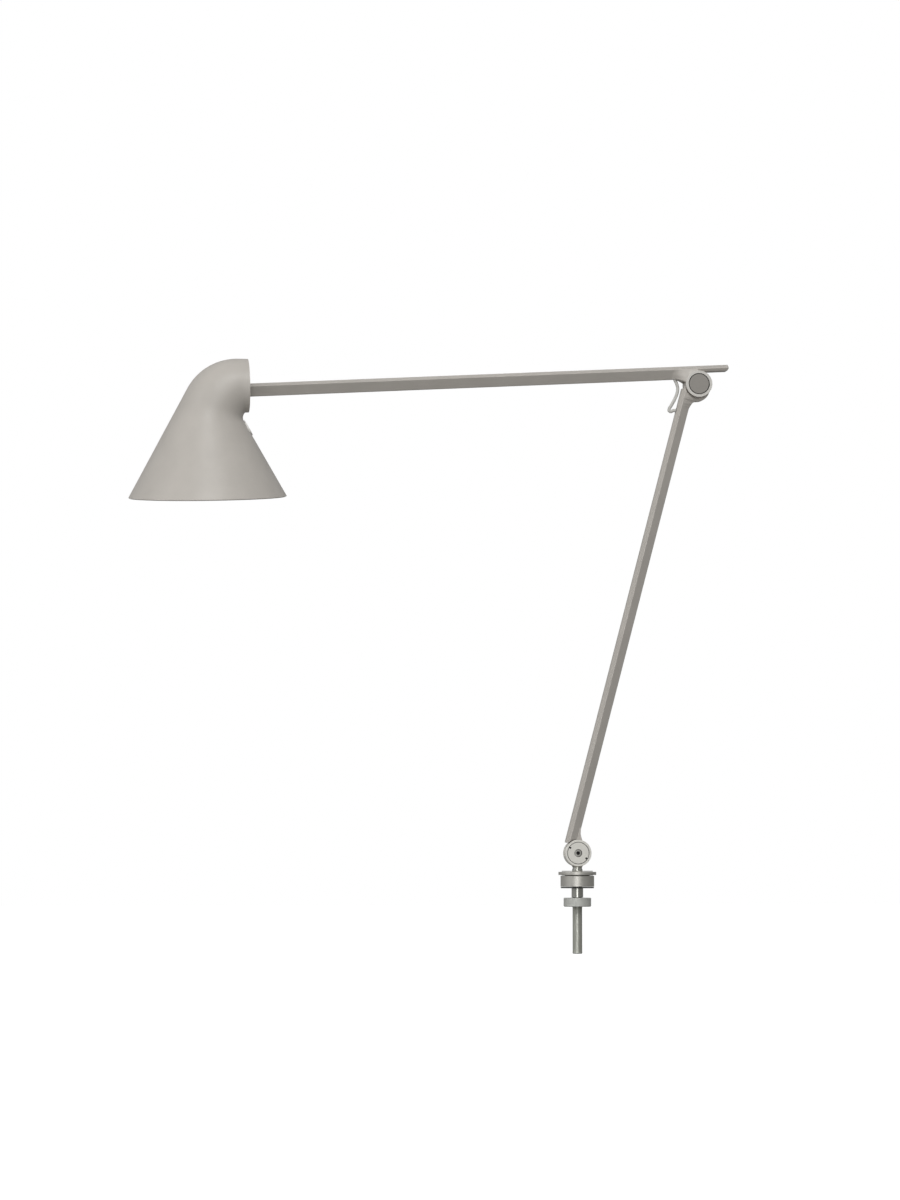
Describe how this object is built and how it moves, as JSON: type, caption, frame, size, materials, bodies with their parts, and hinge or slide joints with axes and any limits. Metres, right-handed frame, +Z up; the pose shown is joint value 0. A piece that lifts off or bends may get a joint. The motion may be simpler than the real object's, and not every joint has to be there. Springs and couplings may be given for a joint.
{
  "type": "architect desk lamp",
  "caption": "Architect desk lamp: hinged arms of faceted bar carry a bent-neck cone shade, on a swivelling foot clamped through the table by a threaded pin.",
  "frame": {"origin": "axis of the table pin at the table top, in the plane of the foot pad's underside", "axes": "+Z up along the table pin, +X from the shade towards the elbow, +Y towards the back, square to the arms"},
  "size_m": [0.6033, 0.1568, 0.5929],
  "materials": {
    "grey_paint": "satin powder coat in warm light grey",
    "cap_paint": "satin paint, darker grey",
    "bead_blasted_aluminium": "bead-blasted and clear lacquered",
    "brushed_steel": "turned, fine circular brushing",
    "knurled_steel": "fine knurl, matt nickel",
    "threaded_steel": "fine metric thread, nickel plated",
    "bearing_bronze": "plain bearing bronze",
    "black_rubber": "matt",
    "black_nylon": "matt",
    "grey_cable": "smooth PVC sheath",
    "anodised_aluminium": "anodised",
    "white_circuit_board": "white solder mask",
    "led_phosphor": "yellow phosphor gel",
    "white_reflector": "white moulded",
    "opal_diffuser": "opal, semi-matt",
    "light_grey_plastic": "moulded, satin"
  },
  "bodies": {
    "table_mount": {"foot_pad": "black_rubber", "puck_body": "brushed_steel", "puck_cap": "brushed_steel", "swivel_bush": "bearing_bronze", "threaded_tube": "threaded_steel", "table_collar": "brushed_steel", "tube_lock_nut": "brushed_steel", "stop_pin": "brushed_steel"},
    "clamp_washer": {"clamp_washer": "brushed_steel"},
    "clamp_nut": {"clamp_nut": "knurled_steel"},
    "swivel": {"swivel_fork": "bead_blasted_aluminium", "swivel_cover": "brushed_steel", "stop_washer": "brushed_steel", "drum_cap_front": "bead_blasted_aluminium", "drum_cap_rear": "bead_blasted_aluminium", "base_bolt": "brushed_steel", "base_nut": "brushed_steel", "base_friction_washer_front": "black_nylon", "base_friction_washer_rear": "black_nylon"},
    "lower_arm": {"lower_arm_bar": "grey_paint", "lower_arm_foot": "grey_paint", "lower_arm_eye": "grey_paint", "foot_bush": "bearing_bronze", "eye_bush": "bearing_bronze", "cable_grommet": "black_rubber", "lower_lead": "grey_cable"},
    "upper_arm": {"upper_arm_bar": "grey_paint", "elbow_fork": "grey_paint", "elbow_cap_front": "cap_paint", "elbow_cap_rear": "cap_paint", "elbow_bolt": "brushed_steel", "elbow_nut": "brushed_steel", "elbow_washer_front": "black_nylon", "elbow_washer_rear": "black_nylon", "bar_end_plug": "grey_paint", "journal_clip": "brushed_steel", "upper_lead": "grey_cable", "elbow_cable": "grey_cable"},
    "head_knuckle": {"head_knuckle": "bead_blasted_aluminium"},
    "head": {"shade": "grey_paint", "head_bracket": "bead_blasted_aluminium", "tilt_bolt": "brushed_steel", "tilt_nut": "brushed_steel", "heat_sink": "anodised_aluminium", "led_board": "white_circuit_board", "led_module": "led_phosphor", "reflector": "white_reflector", "diffuser": "opal_diffuser", "retaining_ring": "white_reflector", "switch_bezel": "light_grey_plastic", "switch_board": "white_circuit_board"},
    "switch_button": {"switch_button": "light_grey_plastic"}
  },
  "joints": [
    {"name": "clamp_travel", "type": "slide", "parent": "table_mount", "child": "clamp_washer", "axis": [0, 0, -1], "range_m": [0, 0.04]},
    {"name": "clamp_nut_spin", "type": "hinge", "parent": "clamp_washer", "child": "clamp_nut", "pos_m": [0, 0, -0.0148], "axis": [0, 0, -1], "range_deg": [0, 14400]},
    {"name": "base_swivel", "type": "hinge", "parent": "table_mount", "child": "swivel", "pos_m": [0, 0, 0.0173], "axis": [0, 0, 1], "range_deg": [-165, 165]},
    {"name": "base_tilt", "type": "hinge", "parent": "swivel", "child": "lower_arm", "pos_m": [0, 0, 0.035], "axis": [0, 1, 0], "range_deg": [-50, 31]},
    {"name": "elbow", "type": "hinge", "parent": "lower_arm", "child": "upper_arm", "pos_m": [0.12331, 0, 0.50706], "axis": [0, 1, 0], "range_deg": [-20, 60], "deforming": ["elbow_cable"]},
    {"name": "head_swivel", "type": "hinge", "parent": "upper_arm", "child": "head_knuckle", "pos_m": [-0.35312, 0, 0.4954], "axis": [0.9986, 0, 0.052], "range_deg": [-60, 60]},
    {"name": "head_tilt", "type": "hinge", "parent": "head_knuckle", "child": "head", "pos_m": [-0.35312, 0, 0.4954], "axis": [-0.0063, 0.9925, 0.1217], "range_deg": [-18, 30]},
    {"name": "switch_press", "type": "slide", "parent": "head", "child": "switch_button", "axis": [-0.8609, 0.0565, -0.5056], "range_m": [0, 0.0008], "stiffness_N_per_m": 1500, "springref_m": -0.0003}
  ],
  "couplings": [
    {"joint": "clamp_nut_spin", "follows": "clamp_travel", "rad_per_m": 6283.2}
  ]
}
